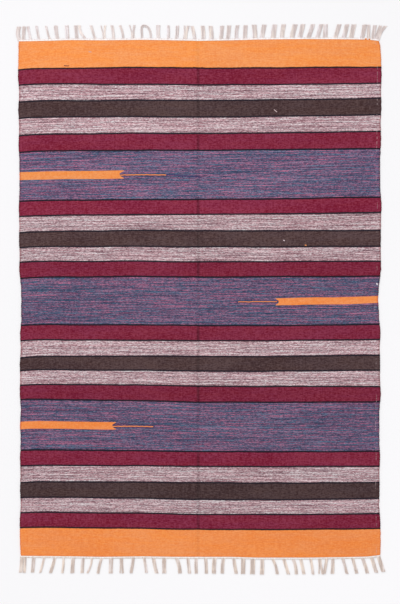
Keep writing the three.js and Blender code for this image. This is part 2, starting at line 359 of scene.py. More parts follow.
# %% How each pick lies
DRAWN_IN = 1.2  # millimetres by which the cloth has drawn in at both selvedges since it was woven
RISE, RISE_AT, RISE_REACH = 1.8, -230, 130
WANDER, FINE_WANDER = 1.8, 0.8

selvedge_plan = [(0, *FAR_CORNERS), (15, 4, -1)]
for start, (_, run, _, left, right, *_) in zip(starts, BANDS):
    inset = run / 5 if run > LONG_BAND else run / 2
    selvedge_plan.append((start + inset, left, right))
    if run > LONG_BAND:
        selvedge_plan.append((start + run - inset, left, right))
selvedge_plan += [(1010, -7, -9), (1072, -8, -6), (1495, -2, -4)]
selvedge_plan += [(LENGTH - 9, -4, 0), (LENGTH, *NEAR_CORNERS)]
selvedge_plan = np.array(sorted(selvedge_plan), float)
selvedge_plan[:, 1:] -= DRAWN_IN

slip_plan = [(start, *band[5:]) for start, band in zip(starts, BANDS)]
slip_plan = np.array(sorted(slip_plan + INNER_SLIPS + [(LENGTH, 0, 0, 0)]), float)


def standing_out(down, side):
    """How far a selvedge stands out beyond the nominal width; side 1 is the left one, 2 the right."""
    return float(np.interp(down, selvedge_plan[:, 0], selvedge_plan[:, side]))


def slipped(x, down):
    """How far down the rug from its nominal place the pick lies, at x millimetres from the middle."""
    left, middle, right = (np.interp(down, slip_plan[:, 0], slip_plan[:, k]) for k in (1, 2, 3))
    across = x / (WIDTH / 2)
    bend = middle + across * (right - left) / 2 + across**2 * ((left + right) / 2 - middle)
    droop = np.interp(down, *zip(*DROOPS)) * math.exp(-(x + WIDTH / 2) / DROOP_REACH)
    droop -= RISE * math.exp(-(((x - RISE_AT) / RISE_REACH) ** 2))
    wander = WANDER * noise.noise((x / 150, down / 90, 3.7))
    wander += FINE_WANDER * noise.noise((x / 45, down / 40, 9.1))
    inside = min(1.0, down / 60, (LENGTH - down) / 60)
    return float(bend) + inside * (droop + wander)


def bowed(x, down):
    """How far the ends' bow moves the cloth away from its middle; it dies out over the end bands."""
    far = max(0.0, 1 - down / BANDS[0][1]) * np.interp(x, ENDS_ACROSS, FAR_BOW)
    near = max(0.0, 1 - (LENGTH - down) / BANDS[-1][1]) * np.interp(x, ENDS_ACROSS, NEAR_BOW)
    return float(far - near)


print("slip of the first maroon pick:", [round(slipped(x, 109), 1) for x in (-700, 0, 700)], "mm")

# %% [markdown]
# ## The fold and the relief
#
# The rug was stored folded in half, and the fold still shows as a soft trough 7 mm left of the middle,
# with a faint swell on either side where the cloth was pressed. It is a form, so it is modelled: the
# columns of the mesh are close together there. Elsewhere they can be wider apart, apart from the
# selvedges, which round over to the floor. Cockling and the sunk lines between bands are a few tenths
# of a millimetre.

# %% Columns and heights
FOLD_AT, FOLD_HALF_WIDTH, FOLD_DEPTH = -7, 12, 1.5
SWELL_AT, SWELL_WIDTH, SWELL_HEIGHT = 20, 9, 0.3
SELVEDGE_CORD, SELVEDGE_GROOVE = 16, 0.35
FACE_HEIGHT = THICKNESS - 0.3  # the picks' mean height; their relief makes up the rest
SUNK_DEPTH, SUNK_WIDTH = 0.25, 4

outer = [4, 8, 12, 15, 17, 20, 26, 36]
fold_columns = [FOLD_AT + step for step in range(-32, 33, 2)]
columns = [-WIDTH / 2 + inset for inset in outer]
columns += list(np.linspace(-650, FOLD_AT - 46, 42)) + fold_columns
columns += list(np.linspace(FOLD_AT + 46, 650, 43))
columns += [WIDTH / 2 - inset for inset in reversed(outer)]

# The selvedge's section: how far inside the edge, and how high
SELVEDGE_SECTION = [(2.2, 3.8), (0.8, 3.2), (0.0, 2.1), (0.5, 0.9), (1.6, 0.0)]


def to_band_line(down):
    """Millimetres to the nearest change of yarn."""
    return float(np.min(np.abs(starts[1:-1] - down)))


def top_height(x, down):
    fold = FOLD_DEPTH * (1 + math.cos(math.pi * min(abs(x - FOLD_AT) / FOLD_HALF_WIDTH, 1))) / 2
    swell = SWELL_HEIGHT * math.exp(-(((abs(x - FOLD_AT) - SWELL_AT) / SWELL_WIDTH) ** 2))
    inset = WIDTH / 2 - abs(x)
    groove = SELVEDGE_GROOVE * math.exp(-(((inset - SELVEDGE_CORD) / 2) ** 2))
    cockle = 0.35 * noise.noise((x / 110, down / 60, 0.5)) + 0.15 * noise.noise((x / 30, down / 25, 5.5))
    sunk = SUNK_DEPTH * math.exp(-((to_band_line(down) / SUNK_WIDTH) ** 2))
    return FACE_HEIGHT - fold + swell - groove + cockle - sunk


print(len(columns), "columns; height in the fold", round(top_height(FOLD_AT, 1000), 2), "mm")

# %% [markdown]
# ## Weaving the sheet
#
# The top is a grid of rows and columns. Each selvedge adds five columns that round over to the floor.
# A kilim is the same on both sides and lies flat, so its underside is a flat grid with the same bands.
# It needs few faces, and each of them takes in all the fine points along its border, so that the mesh
# stays closed.

# %% Points of the sheet
SELVEDGE_REACH, TOOTH_REACH = 120, 8  # how far in the selvedge's own shape and its teeth are felt


def cloth_point(x, down, z):
    return place(x, LENGTH / 2 - down + bowed(x, down) - slipped(x, down), z)


def edge_shift(x, down):
    """The selvedge's own place, blended away over the outer millimetres of cloth."""
    side = 1 if x < 0 else 2
    inset = WIDTH / 2 - abs(x)
    nearness = max(0.0, 1 - inset / SELVEDGE_REACH)
    tooth = 0.5 * math.cos(math.pi * down / PICK_PAIR) * max(0.0, 1 - inset / TOOTH_REACH)
    ragged = 1.2 * noise.noise((down / 14, 20.0 * side, 2.2))
    return (1 if x > 0 else -1) * (nearness * (standing_out(down, side) + ragged) + tooth)


def grid_row(down):
    """One row of points from left to right: (point, millimetres across)."""
    row = [(-WIDTH / 2 + inset, z) for inset, z in reversed(SELVEDGE_SECTION)]
    row += [(x, top_height(x, down)) for x in columns]
    row += [(WIDTH / 2 - inset, z) for inset, z in SELVEDGE_SECTION]
    return [(cloth_point(x + edge_shift(x, down), down, z), x) for x, z in row]


points, across = [], []
for down in row_down:
    for point, x in grid_row(down):
        points.append(point)
        across.append(x)
WIDE = len(across) // (ROWS + 1)
SIDE = len(SELVEDGE_SECTION)
counted = [row for row in range(ROWS + 1) for _ in range(WIDE)]
print(len(points), "points on the top and the selvedges")

# %% [markdown]
# The faces are lists of point numbers. The underside's points are added where they are first needed:
# `under` gives the point on the floor below a row and a column, and makes it if it is new.

# %% Faces of the sheet
faces, layers = [], []  # layers: 0 for the top and selvedges, 1 for the underside, 2 for the end walls
floor_points = {}


def top(row, column):
    return row * WIDE + column


def under(row, column):
    if (row, column) not in floor_points:
        point = points[top(row, column)].copy()
        point.z = 0.0
        floor_points[row, column] = len(points)
        points.append(point)
        across.append(across[top(row, column)])
        counted.append(row)
    return floor_points[row, column]


for row in range(ROWS):
    for column in range(WIDE - 1):
        faces.append(
            (top(row, column), top(row + 1, column), top(row + 1, column + 1), top(row, column + 1))
        )
        layers.append(0)

first_inner, last_inner = SIDE, WIDE - 1 - SIDE
middle_rows = (first_row[:-1] + first_row[1:]) // 2
COARSE_ROWS, COARSE_COLUMNS = 12, 7  # how many fine rows and columns one face underneath takes in
coarse_rows = sorted({*range(0, ROWS, COARSE_ROWS), *(int(r) for r in (*first_row, *middle_rows))})
coarse_columns = sorted({*range(first_inner, last_inner, COARSE_COLUMNS), last_inner})


def stretch(row, start, stop):
    """The underside's points along a row from one column to another, all of them at the two ends."""
    step = 1 if stop > start else -1
    every = row in (0, ROWS)
    return [under(row, c) for c in (range(start, stop + step, step) if every else (start, stop))]


for upper, lower in zip(coarse_rows, coarse_rows[1:]):
    for left, right in zip(coarse_columns, coarse_columns[1:]):
        faces.append((*stretch(upper, left, right), *stretch(lower, right, left)))
        layers.append(1)
    left_side = [top(row, 0) for row in range(lower, upper - 1, -1)]
    faces.append((*left_side, under(upper, first_inner), under(lower, first_inner)))
    right_side = [top(row, WIDE - 1) for row in range(upper, lower + 1)]
    faces.append((*right_side, under(lower, last_inner), under(upper, last_inner)))
    layers += [1, 1]

for row, way in ((0, 1), (ROWS, -1)):
    walls = [
        (top(row, c + 1), under(row, c + 1), under(row, c), top(row, c))
        for c in range(first_inner, last_inner)
    ]
    walls.append((*(top(row, c) for c in range(first_inner, -1, -1)), under(row, first_inner)))
    walls.append((*(top(row, c) for c in range(WIDE - 1, last_inner - 1, -1)), under(row, last_inner)))
    for wall in walls:
        faces.append(wall[::-way])
        layers.append(2)

print(len(faces), "faces, of which", layers.count(1), "underneath")

# %% [markdown]
# The mesh also carries what the finish needs to know: the yarn of each face, the distance to the
# nearest change of yarn, and two UV maps. `weave` is the one that the pattern reads. `OFBake` lays the
# whole sheet out flat inside the unit square, its top in the left half and its underside in the right
# one, for anyone who wants to bake the finish to a picture.

# %% The cloth object
BAKE_LEFT, BAKE_WIDTH, BAKE_RIGHT = 0.004, 0.488, 0.504  # margin, width, and from half to half
BAKE_TOP, BAKE_HEIGHT = 0.994, 0.988

mesh = bpy.data.meshes.new("cloth")
mesh.from_pydata(points, [], faces)
mesh.validate()
cloth = bpy.data.objects.new("cloth", mesh)
bpy.context.collection.objects.link(cloth)

across, counted, layers = np.array(across), np.array(counted), np.array(layers)
corner_points = np.zeros(len(mesh.loops), int)
mesh.loops.foreach_get("vertex_index", corner_points)
sides = np.zeros(len(mesh.polygons), int)
mesh.polygons.foreach_get("loop_total", sides)
corner_layer = np.repeat(layers, sides)

weave = np.stack([across[corner_points] * MM, counted[corner_points]], 1)
mesh.uv_layers.new(name="weave").data.foreach_set("uv", weave.astype(np.float32).ravel())

down = row_down[counted[corner_points]] / LENGTH
flat_x = np.interp(across[corner_points], (-WIDTH / 2, WIDTH / 2), (0.0, 1.0))
flat_x = BAKE_LEFT + BAKE_WIDTH * flat_x + BAKE_RIGHT * (corner_layer == 1)
flat = np.stack([flat_x, BAKE_TOP - BAKE_HEIGHT * down], 1)
heights = np.array([points[n].z for n in corner_points]) / MM
flat[:, 1] += (corner_layer == 2) * np.sign(0.5 - down) * (THICKNESS - heights) / LENGTH
mesh.uv_layers.new(name="OFBake").data.foreach_set("uv", flat.astype(np.float32).ravel())

face_row = np.array([counted[list(face)].min() for face in faces])
band_of = np.clip(np.searchsorted(first_row, face_row, side="right") - 1, 0, len(BANDS) - 1)
of_band = {
    "yarn": [yarn for yarn, *_ in BANDS],
    "lot": [lighter / 100 for _, _, lighter, *_ in BANDS],
    # how much painted shade darkens the band's yarn in the fold
    "wear": [FOLD_SHADE_PAINT[yarn] for yarn, *_ in BANDS],
}
for name, values in of_band.items():
    values = np.array(values, np.float32)[band_of]
    mesh.attributes.new(name, "FLOAT", "FACE").data.foreach_set("value", values)
gaps = np.array([to_band_line(row_down[row]) for row in counted], np.float32)
mesh.attributes.new("to_line", "FLOAT", "POINT").data.foreach_set("value", gaps)

bpy.ops.object.select_all(action="DESELECT")
cloth.select_set(True)
bpy.context.view_layer.objects.active = cloth
bpy.ops.object.shade_smooth_by_angle(angle=math.radians(50))
triangles = int((sides - 2).sum())
print("cloth:", triangles, "triangles")

# %% [markdown]
# ## The woven finish
#
# Three things make up the look of this weave. The first is its relief: warps 5 mm apart make soft ribs
# down the rug, and every weft makes a bead where it crosses one, staggered from rib to rib. The second
# is the yarn. The orange, maroon and brown are one shade with a little mottle, but the pink and the
# violet are marls, spun from strands of several shades, so along a pick the shade drifts in streaks,
# and from bead to bead it jumps. The third is what was woven in: a dark pick at each change of yarn,
# and three orange bars with a forked end and a tongue.

# %% Numbers that the weave is made of, in metres
RIB = 0.0050  # from warp to warp
CREASE_AT, CREASE_WIDTH = -0.0064, 0.0055  # the line of painted shade in the fold
EDGE_SHADE_FROM, EDGE_SHADE_WIDTH, EDGE_SHADE_CORNER = 0.6985, 0.0065, 0.005  # the outermost selvedge, darkened with painted shade where it rounds over
PEEPING_AT, PEEPING_WIDTH = 0.6845, 0.0014  # the pale warps beside the right selvedge's cord

print("about", round(WIDTH * MM / RIB), "warps from selvedge to selvedge")


def fibre(f, across, pick):
    """Fine mottle and broad mottle, each about 0, for any yarn."""
    down = pick * (PICK_PAIR * MM)
    lengthways = f.cloud(across * 160, down * 25, 1.0)
    crossways = f.cloud(across * 60, down * 230, 1.0)
    fine = 0.8 * f.cloud(across * 150, down * 210, 1.0) + 0.4 * lengthways + 1.0 * crossways - 1.1
    broad = f.cloud(across * 3, down * 10, 4.0, 0.75) - 0.5
    return fine, broad


def streaks(f, across, row, seed):
    """A marl's long drift along a pick and its jump from bead to bead, both about 0."""
    own, other = (
        f.cloud(across * 2.5 + at * 3.31, at * 5.37 + seed, 5.0, 0.9) - 0.5 for at in (row, row + 2)
    )
    drift = own - 0.25 * other  # a pick looks lighter beside a dark one
    bead = f.maths("FLOOR", across / RIB + f.speck(row, seed))
    jump = f.speck(bead, row + seed) - 0.5
    return drift, jump


# %% [markdown]
# A plain yarn is one shade that drifts a little in hue and in depth. A marl is two choices at once:
# how light the strand is, and which way its shade leans. A ramp of three shades gives the first, and a
# second ramp, which multiplies it, gives the other.

# %% Yarns
# The orange, maroon and brown yarns: two deep shades and two pale ones
PLAIN_DYES = [
    (((233, 138, 78), (236, 131, 60)), ((243, 157, 98), (246, 151, 78))),
    (((112, 12, 39), (109, 12, 44)), ((140, 51, 72), (137, 51, 78))),
    (((61, 39, 39), (59, 39, 42)), ((90, 69, 68), (88, 69, 71))),
]
# The pink and violet marls: deep, middle and pale shades, what a lean to either side multiplies them
# by, how strongly drift, jump and broad mottle change the tone, and drift and jump the lean
MARLS = [
    (
        ((114, 80, 90), (175, 144, 150), (230, 213, 216)),
        ((0.93, 1.06, 1.05, 1), (1.03, 0.86, 0.89, 1)), (2.75, 0.6, 0.3), (4.8, 0.5),
    ),
    (
        ((62, 57, 84), (99, 83, 112), (139, 114, 142)),
        ((0.40, 1.04, 1.0, 1), (1.80, 0.96, 1.0, 1)), (3.1, 0.75, 0.45), (5.2, 0.45),
    ),
]


def plain_yarn(f, hue, mottle, deep, pale):
    """One shade, from deep to pale with the mottle; both are pairs of shades that the hue mixes."""
    return f.mix(mottle, *(f.mix(hue, dye(*first), dye(*second)) for first, second in (deep, pale)))


def marl(f, light_streaks, lean_streaks, broad, shades, leans, lights, turns):
    """A marl's shade: lights and turns say how strongly the streaks change its tone and its lean."""
    drift, jump = light_streaks
    light = f.clear(0.5 + drift * lights[0] + jump * lights[1] + broad * lights[2])
    drift, jump = lean_streaks
    lean = f.clear(0.5 + drift * turns[0] + jump * turns[1])
    tone = f.ramp(light, [(at, dye(*shade)) for at, shade in zip((0.0, 0.5, 1.0), shades)])
    turn = f.ramp(lean, [(0.0, leans[0]), (0.5, (1, 1, 1, 1)), (1.0, leans[1])])
    return f.times(tone, turn)


print(len(PLAIN_DYES), "plain yarns and", len(MARLS), "marls")

# %% [markdown]
# Each figure is a bar from a selvedge. Its end is cut to a swallowtail, and a thin tongue of the same
# orange runs on from the notch, with a dark weft above and below it. Beyond the first tongue one dark
# weft has strayed on. In the weave map that is plain geometry: `aside` is the distance from the bar's
# middle line, and the bar's end is a slope in it.

# %% Figures
# Figures: side, middle, height, tip, notch, the tongue's end, height and drop, and the gap before it
FIGURES = [
    (1, 520.5, 31, -294, -311, -131, 3.5, 2.2, 0),
    (-1, 1010, 27.5, -293, -305, -148, 3.0, -1.0, 6),
    (1, 1495, 28.5, -325, -339, -181, 3.5, 1.9, 0),
]
# The stray dark weft: from (across, down) to (across, down) and how tall, in millimetres
STRAY = ((-128, 521), (6, 531), 5.2)


def laid_in(f, across, pick, start, stop, height):
    """Mask of a yarn laid in by hand, from one (across, down) to another, in millimetres."""
    share = (across / MM - start[0]) / (stop[0] - start[0])
    first, last = pick_at(start[1]), pick_at(stop[1])
    waver = 0.5 * (f.cloud(across * 75, 3.3) - 0.5)
    aside = abs(pick + waver - first - share * (last - first)) * PICK_PAIR
    return (aside < height / 2) * (share > 0) * (share < 1)


def figure(f, across, pick, side, middle, height, tip, notch, tongue, tongue_height, drop, gap):
    """(orange, dark) masks of a bar from a selvedge; side 1 is the left one, -1 the right.

    Its places are millimetres from the middle of the cloth. Its tongue lies this drop below the bar's
    own middle line, and starts after the gap."""
    x = across * (side / MM)
    aside = abs(pick - pick_at(middle)) * PICK_PAIR
    slope = f.clear((aside - 4.5) / (height / 2 - 6.5))
    bar = (aside < height / 2) * (x < notch + (tip - notch) * slope)
    line = middle + drop
    spine, bed = (
        laid_in(f, across, pick, (side * (notch + start), line), (side * (tongue + stop), line), tall)
        for start, stop, tall in ((gap, 0, tongue_height), (-3, 6, tongue_height + 8))
    )
    return f.clear(bar + spine), bed * (1 - spine) * (1 - bar)


print(len(FIGURES), "figures, the tallest of", max(sizes[2] for sizes in FIGURES), "mm")

# %% [markdown]
# Now the finish is put together in the order in which the loom does it: find the pick, choose the
# yarn, weave in the figures and the dark picks, then paint shade into the fold and along the outermost
# selvedge. Last come a few flecks, ends of yarn and lint that the beater caught, and by the right
# selvedge the pale warps that peep out beside its cord.

# %% The woven cloth
# What the far and the near half's orange are multiplied by, painted light that makes the near half
# redder to even out the fall-off, and the painted shade that the outermost selvedge is multiplied by
PAINTED_LIGHT_FAR, PAINTED_LIGHT_NEAR, EDGE_SHADE_CAST = (0.97, 1.005, 1.01, 1), (1.04, 1.0, 0.985, 1), (0.73, 0.50, 0.50, 1)
# The dark wefts beside a tongue, the stray one, the pick at a change of yarn, and the bare warps
BED_SHADE, STRAY_SHADE = (34, 42, 84), (34, 48, 96)
LINE_SHADE, WARP_SHADE = (24, 20, 32), (205, 185, 185)
# Flecks: from (across, down) to (across, down) and how tall, in millimetres, and the shade
FLECKS = [
    ((-527, 97), (-506, 98), 4, (112, 54, 46)), ((-431, 44), (-420, 46), 5, (208, 158, 142)),
    ((287, 270), (299, 281), 3.5, (214, 190, 190)), ((323, 774), (329, 776), 4, (225, 205, 210)),
    ((687, 946), (696, 950), 6, (226, 220, 226)), ((406, 793), (413, 795), 4, (235, 150, 90)),
]


def woven_cloth():
    f = Finish("woven_cloth", 0.95)
    across, pick, _ = f.parts(f.node("ShaderNodeUVMap", {"uv_map": "weave"}))
    wavy = pick + 0.5 * (f.cloud(across * 12, pick * 0.25) - 0.5)
    row = f.maths("FLOOR", wavy * 2)
    fine, broad = fibre(f, across, pick)
    mottle = f.clear(0.5 + fine * 1.8 + broad * 1.25)
    hue = f.clear(0.5 + 4.2 * (f.cloud(across * 3, pick * 0.1, 5.0, 0.95) - 0.5))

    orange, maroon, brown = (plain_yarn(f, hue, mottle, deep, pale) for deep, pale in PLAIN_DYES)
    # painted light: the near half's orange is redder and the far half's less red, to even out the
    # fall-off
    orange = f.times(orange, f.mix(pick > ROWS / 2, PAINTED_LIGHT_FAR, PAINTED_LIGHT_NEAR))
    light_streaks, lean_streaks = streaks(f, across, row, 0.0), streaks(f, across, row, 40.5)
    pink, violet = (marl(f, light_streaks, lean_streaks, broad, *sizes) for sizes in MARLS)

    bars = [figure(f, across, pick, *sizes) for sizes in FIGURES]
    stray = laid_in(f, across, pick, *STRAY)
    yarn = f.attribute("yarn")
    woven_of = [f.maths("COMPARE", yarn, float(number), 0.1) for number in range(len(FOLD_SHADE_PAINT))]
    cloth_colour = orange
    for number, shade in ((MAROON, maroon), (PINK, pink), (BROWN, brown), (VIOLET, violet)):
        cloth_colour = f.mix(woven_of[number], cloth_colour, shade)
    cloth_colour = f.scaled(cloth_colour, 1 + f.attribute("lot"))
    cloth_colour = f.mix(stray * 0.7, cloth_colour, dye(*STRAY_SHADE))
    for bar, dark in bars:
        cloth_colour = f.mix(dark * 0.6, cloth_colour, dye(*BED_SHADE))
        cloth_colour = f.mix(bar, cloth_colour, f.scaled(orange, 0.96))

    ragged = 1.6 * (f.cloud(across * 90, pick * 0.5, 1.0) - 0.5)
    deep_yarn = woven_of[MAROON] + woven_of[BROWN]
    dark_pick = f.clear((4.4 - 2.1 * deep_yarn - f.attribute("to_line") - ragged) * 2.0)
    cloth_colour = f.mix(dark_pick * 0.97, cloth_colour, dye(*LINE_SHADE))
    for start, stop, height, shade in FLECKS:
        fleck = laid_in(f, across, pick, start, stop, height)
        cloth_colour = f.mix(fleck * 0.85, cloth_colour, dye(*shade))
    beside_cord = abs(across - PEEPING_AT) < PEEPING_WIDTH
    peeping = beside_cord * (f.speck(row, 9.0) > 0.5) * (f.cloud(3.7, pick * 0.05) > 0.5)
    cloth_colour = f.mix(peeping * 0.3, cloth_colour, dye(*WARP_SHADE))

    # painted shade in the fold's trough, stronger along some stretches and in some yarns
    fold = abs(across - CREASE_AT) / CREASE_WIDTH
    shade_along_fold = 0.4 + 1.2 * f.cloud(5.5, pick * 0.04, 1.0)
    painted_fold_shade = f.clear(1 - fold * fold * 0.5) * shade_along_fold * f.attribute("wear")
    # painted shade along the outermost selvedge where it rounds over, wider near the far end
    corner = f.clear(1.2 - pick * 0.1)
    edge = f.clear((EDGE_SHADE_FROM - abs(across) - corner * EDGE_SHADE_CORNER) / EDGE_SHADE_WIDTH)
    less_on_orange = 0.6 * woven_of[ORANGE]  # the orange hardly darkens there
    painted_edge_shade = f.mix(f.clear(edge + less_on_orange), EDGE_SHADE_CAST, (1, 1, 1, 1))
    f.colour(f.times(f.scaled(cloth_colour, 1 - painted_fold_shade), painted_edge_shade))

    rib = across / RIB
    warp = f.maths("FLOOR", rib)
    over = f.maths("FRACT", rib) - 0.5
    stagger = f.maths("FRACT", wavy * 2 + warp * 0.5) - 0.5
    bead = (1 - over * over * 3.4) * (1 - stagger * stagger * 1.3)
    f.relief(bead * 0.5 + fine * 0.35, 0.0009)
    return f.material


cloth.data.materials.append(woven_cloth())
print("woven finish:", len(cloth.data.materials[0].node_tree.nodes), "nodes")

# %% [markdown]
# ## Tassels
#
# Beyond each end the warps come out of the heading in tassels. Each tassel is two to four locks side by
# side, and a lock is warps twisted together by hand, cut to 50 or 60 mm. They lie on the floor, each
# leaning its own way. The tables go from left to right: where a tassel is rooted, how far its tip leans
# to the right, and how wide it is. A few also bow to the right, or split at the tip.

# %% Where the tassels are
# Root, lean, width and, where it has them, bow and split, all in millimetres
FAR_TASSELS = [
    (-698, -2, 16, -6, 0), (-683, 3, 14), (-655, -11, 11), (-622, -11, 10, -1, 0),
    (-580, -16, 9, -2, 0), (-551, -7, 15), (-512, -4, 15), (-476, -5, 14), (-441, -26, 13, -7, 0),
    (-405, -17, 11), (-370, -4, 14, 0, 5), (-335, -6, 12, 2, 0), (-297, -13, 10, 3, 0),
    (-259, -3, 14, 0, 6), (-160, -1, 15), (-123, 0, 11), (-91, 4, 13), (-58, 7, 16, 0, 3),
    (-19, -11, 14), (13, -3, 16), (45, -4, 17), (81, 5, 16), (108, 5, 16), (142, 4, 14, -2, 0),
    (174, 3, 16), (213, -3, 19), (239, 11, 18), (283, 7, 20), (317, 8, 18), (355, 14, 20),
    (385, 14, 19), (419, 19, 17), (454, 15, 16), (485, 1, 18), (523, 17, 17), (556, 14, 17),
    (585, 12, 19), (626, 12, 17), (653, 1, 12), (670, 8, 15), (682, 18, 13, -2, 0),
    (690, 29, 14, -5, 0),
]
NEAR_TASSELS = [
    (-689, -6, 14), (-677, -3, 11), (-643, -6, 14), (-602, -17, 10), (-561, -18, 13),
    (-528, -5, 10), (-490, -4, 15), (-452, -4, 13), (-418, -18, 9, 4, 0), (-380, -15, 11),
    (-343, -2, 16), (-304, 1, 14, 0, 2), (-258, -9, 12), (-217, 10, 11), (-180, 13, 14),
    (-138, 0, 16), (-91, 14, 15, 3, 0), (-47, 7, 13), (-14, 0, 13), (22, 3, 13), (57, -3, 16),
    (91, -4, 14), (130, 11, 14), (168, -1, 17), (205, -2, 19), (241, -1, 16), (281, 19, 12, 3, 0),
    (324, 19, 14), (360, 14, 13, 3, 0), (390, 13, 13), (428, 10, 11), (463, 7, 15, 0, 4),
    (492, -11, 12), (514, -1, 14), (554, 16, 12), (591, 17, 13), (629, 20, 14), (665, 19, 15),
    (691, 20, 16),
]
CLEARANCE, HEADING_WIDTH, ROOT_DEPTH = 0.3, 6.5, 3
LOCK_WIDTH = 5  # about how wide one lock of a tassel is
ENDS = [
    {"name": "far", "way": 1, "bow": FAR_BOW, "reach": 52, "tassels": FAR_TASSELS, "seed": 1},
    {"name": "near", "way": -1, "bow": NEAR_BOW, "reach": 59, "tassels": NEAR_TASSELS, "seed": 500},
]


def uneven(number):
    """Unevenness from -1 to 1 that is the same each time for the same number."""
    spun = math.sin(number * 12.9898) * 43758.5453
    return 2 * (spun - math.floor(spun)) - 1


def beyond(end, x, distance):
    """How far along the rug a place is that lies this distance beyond the end of the cloth."""
    bow = float(np.interp(x, ENDS_ACROSS, end["bow"]))
    return end["way"] * (LENGTH / 2 + bow + CLEARANCE + distance)


def locks_of(tassel):
    """How many locks make up a tassel of this width."""
    return max(2, round(tassel[2] / LOCK_WIDTH))


for end in ENDS:
    locks = sum(map(locks_of, end["tassels"]))
    print(end["name"], "end:", len(end["tassels"]), "tassels of", locks, "locks")

# %% [markdown]
# A strand of yarn is a curve with a round bevel. Hundreds of them would be slow to place by hand, so
# each lock's three yarns are worked out as points that wind round the lock's middle line, and all the
# yarns of an end go into one curve object, which is then made a mesh. A lock lies on the floor and is
# pressed flat, so the winding is lower than it is wide, and towards the tip it loosens.

# %% Strands of yarn
YARN_RADIUS = 0.85
FULL_LOCK = 4.6  # a lock this wide has yarns of just that radius
LOCK_POINTS = 20
YARNS, TURNS = 3, 3.2  # yarns in a lock, and how often they wind round it
LOOSE_FROM, LOOSE_OVER = 0.8, 0.2  # the shares of a lock where it starts to loosen, and over which


def strands(name, paths, radius):
    """A mesh object of round strands through lists of frame points, each with its own thickness."""
    curve = bpy.data.curves.new(name, "CURVE")
    curve.dimensions = "3D"
    curve.bevel_depth = radius * MM
    curve.bevel_resolution = 1
    curve.use_fill_caps = True
    for path, thickness in paths:
        spline = curve.splines.new("POLY")
        spline.points.add(len(path) - 1)
        spline.points.foreach_set("co", np.array([(*point, 1.0) for point in path]).ravel())
        spline.points.foreach_set("radius", np.array(thickness, float))
    made = bpy.data.objects.new(name, curve)
    bpy.context.collection.objects.link(made)
    bpy.ops.object.select_all(action="DESELECT")
    made.select_set(True)
    bpy.context.view_layer.objects.active = made
    bpy.ops.object.convert(target="MESH")
    bpy.ops.object.shade_smooth()
    return bpy.context.object


def lock_paths(end, tassel, k):
    """The yarns of lock number k of a tassel, each as its points and its thickness at them."""
    root, lean, width, *shape = tassel
    sway, split = shape or (1.5 * uneven(root), 0)
    locks = locks_of(tassel)
    aside = k - (locks - 1) / 2
    lock_width = 1.06 * width / locks
    apart = (width - lock_width) / (locks - 1)
    seed = end["seed"] + root + k
    start = beyond(end, root, HEADING_WIDTH - ROOT_DEPTH)
    reach = ROOT_DEPTH + end["reach"] + uneven(seed)
    sway += 0.3 * uneven(seed + 0.5)
    turns = TURNS + 0.5 * uneven(seed + 0.2)
    found = []
    for yarn in range(YARNS):
        path, thickness = [], []
        length = 1 - 0.02 * abs(uneven(seed + 0.1 * yarn + 0.7))
        for step in range(LOCK_POINTS):
            share = length * step / (LOCK_POINTS - 1)
            x = root + aside * apart + lean * share + sway * math.sin(math.pi * share)
            x += (split if aside >= 0 else -split) * max(0.0, 2 * share - 1)
            loose = max(0.0, share - LOOSE_FROM) / LOOSE_OVER
            wide = (lock_width + 0.4 * loose) / 2 - YARN_RADIUS
            turn = 2 * math.pi * (yarn / YARNS + turns * share * (1 - 0.1 * loose)) + seed
            thick = lock_width / FULL_LOCK + 0.06 * share
            z = YARN_RADIUS * thick + 0.5 * wide * (1 + math.sin(turn)) * (1 - 0.5 * loose)
            path.append(place(x + wide * math.cos(turn), start + end["way"] * reach * share, z))
            thickness.append(thick)
        found.append((path, thickness))
    return found


print("one lock has", len(lock_paths(ENDS[0], FAR_TASSELS[0], 0)), "yarns")

# %% [markdown]
# One pair of warps at the far end was never cut, and still makes a loop, which has fallen over to the
# right. Its middle line is a few given points. Cutting the corners between them a few times makes a
# smooth curve, and each warp is three yarns wound round one another along it, side by side with the
# other.

# %% The uncut loop
LOOP_LINE = [
    (-224, 0), (-225, 22), (-227, 45), (-219, 53), (-205, 49), (-195, 37), (-191, 20), (-190, 0),
]
LOOP_HALF = 2.7  # millimetres from the middle line to each of its two warps


def smoothed(line):
    """The line with its corners cut three times."""
    line = [Vector(point) for point in line]
    for _ in range(3):
        cut = [a.lerp(b, share) for a, b in zip(line, line[1:]) for share in (0.25, 0.75)]
        line = [line[0], *cut, line[-1]]
    return line


def loop_paths(end, inward):
    """The yarns of one warp of the loop, which runs this far inside its middle line."""
    line = smoothed(LOOP_LINE)
    start = beyond(end, LOOP_LINE[0][0], HEADING_WIDTH - ROOT_DEPTH)
    found = []
    for yarn in range(YARNS):
        path = []
        for n, point in enumerate(line):
            along = (line[min(n + 1, len(line) - 1)] - line[max(n - 1, 0)]).normalized()
            turn = 2 * math.pi * (yarn / YARNS + n / 9)
            aside = inward + 1.4 * math.cos(turn)
            x, y = point.x + aside * along.y, point.y - aside * along.x
            path.append(place(x, start + end["way"] * y, YARN_RADIUS + 0.8 * (1 + math.sin(turn))))
        found.append((path, [1.1] * len(path)))
    return found


print("the loop's middle line has", len(smoothed(LOOP_LINE)), "points")

# %% [markdown]
# ## Headings
#
# The heading is what keeps the wool from sliding off the warps: three picks of undyed cotton,
# woven over one pair of warps and under the next, and outside them a twined cord, two strands that
# turn round each other and grip the warps where they come out. The cord is of the same cotton as the
# tassels and is made with them. The picks were washed paler, so they are a piece of their own.

# %% Headings and cords
PICKS_AT, PICK_HEIGHT, WARP_GAP = (1.2, 2.6, 4.0), 2.3, 4.8
CORD_AT, CORD_HEIGHT, CORD_TURN = 5.6, 1.6, 13


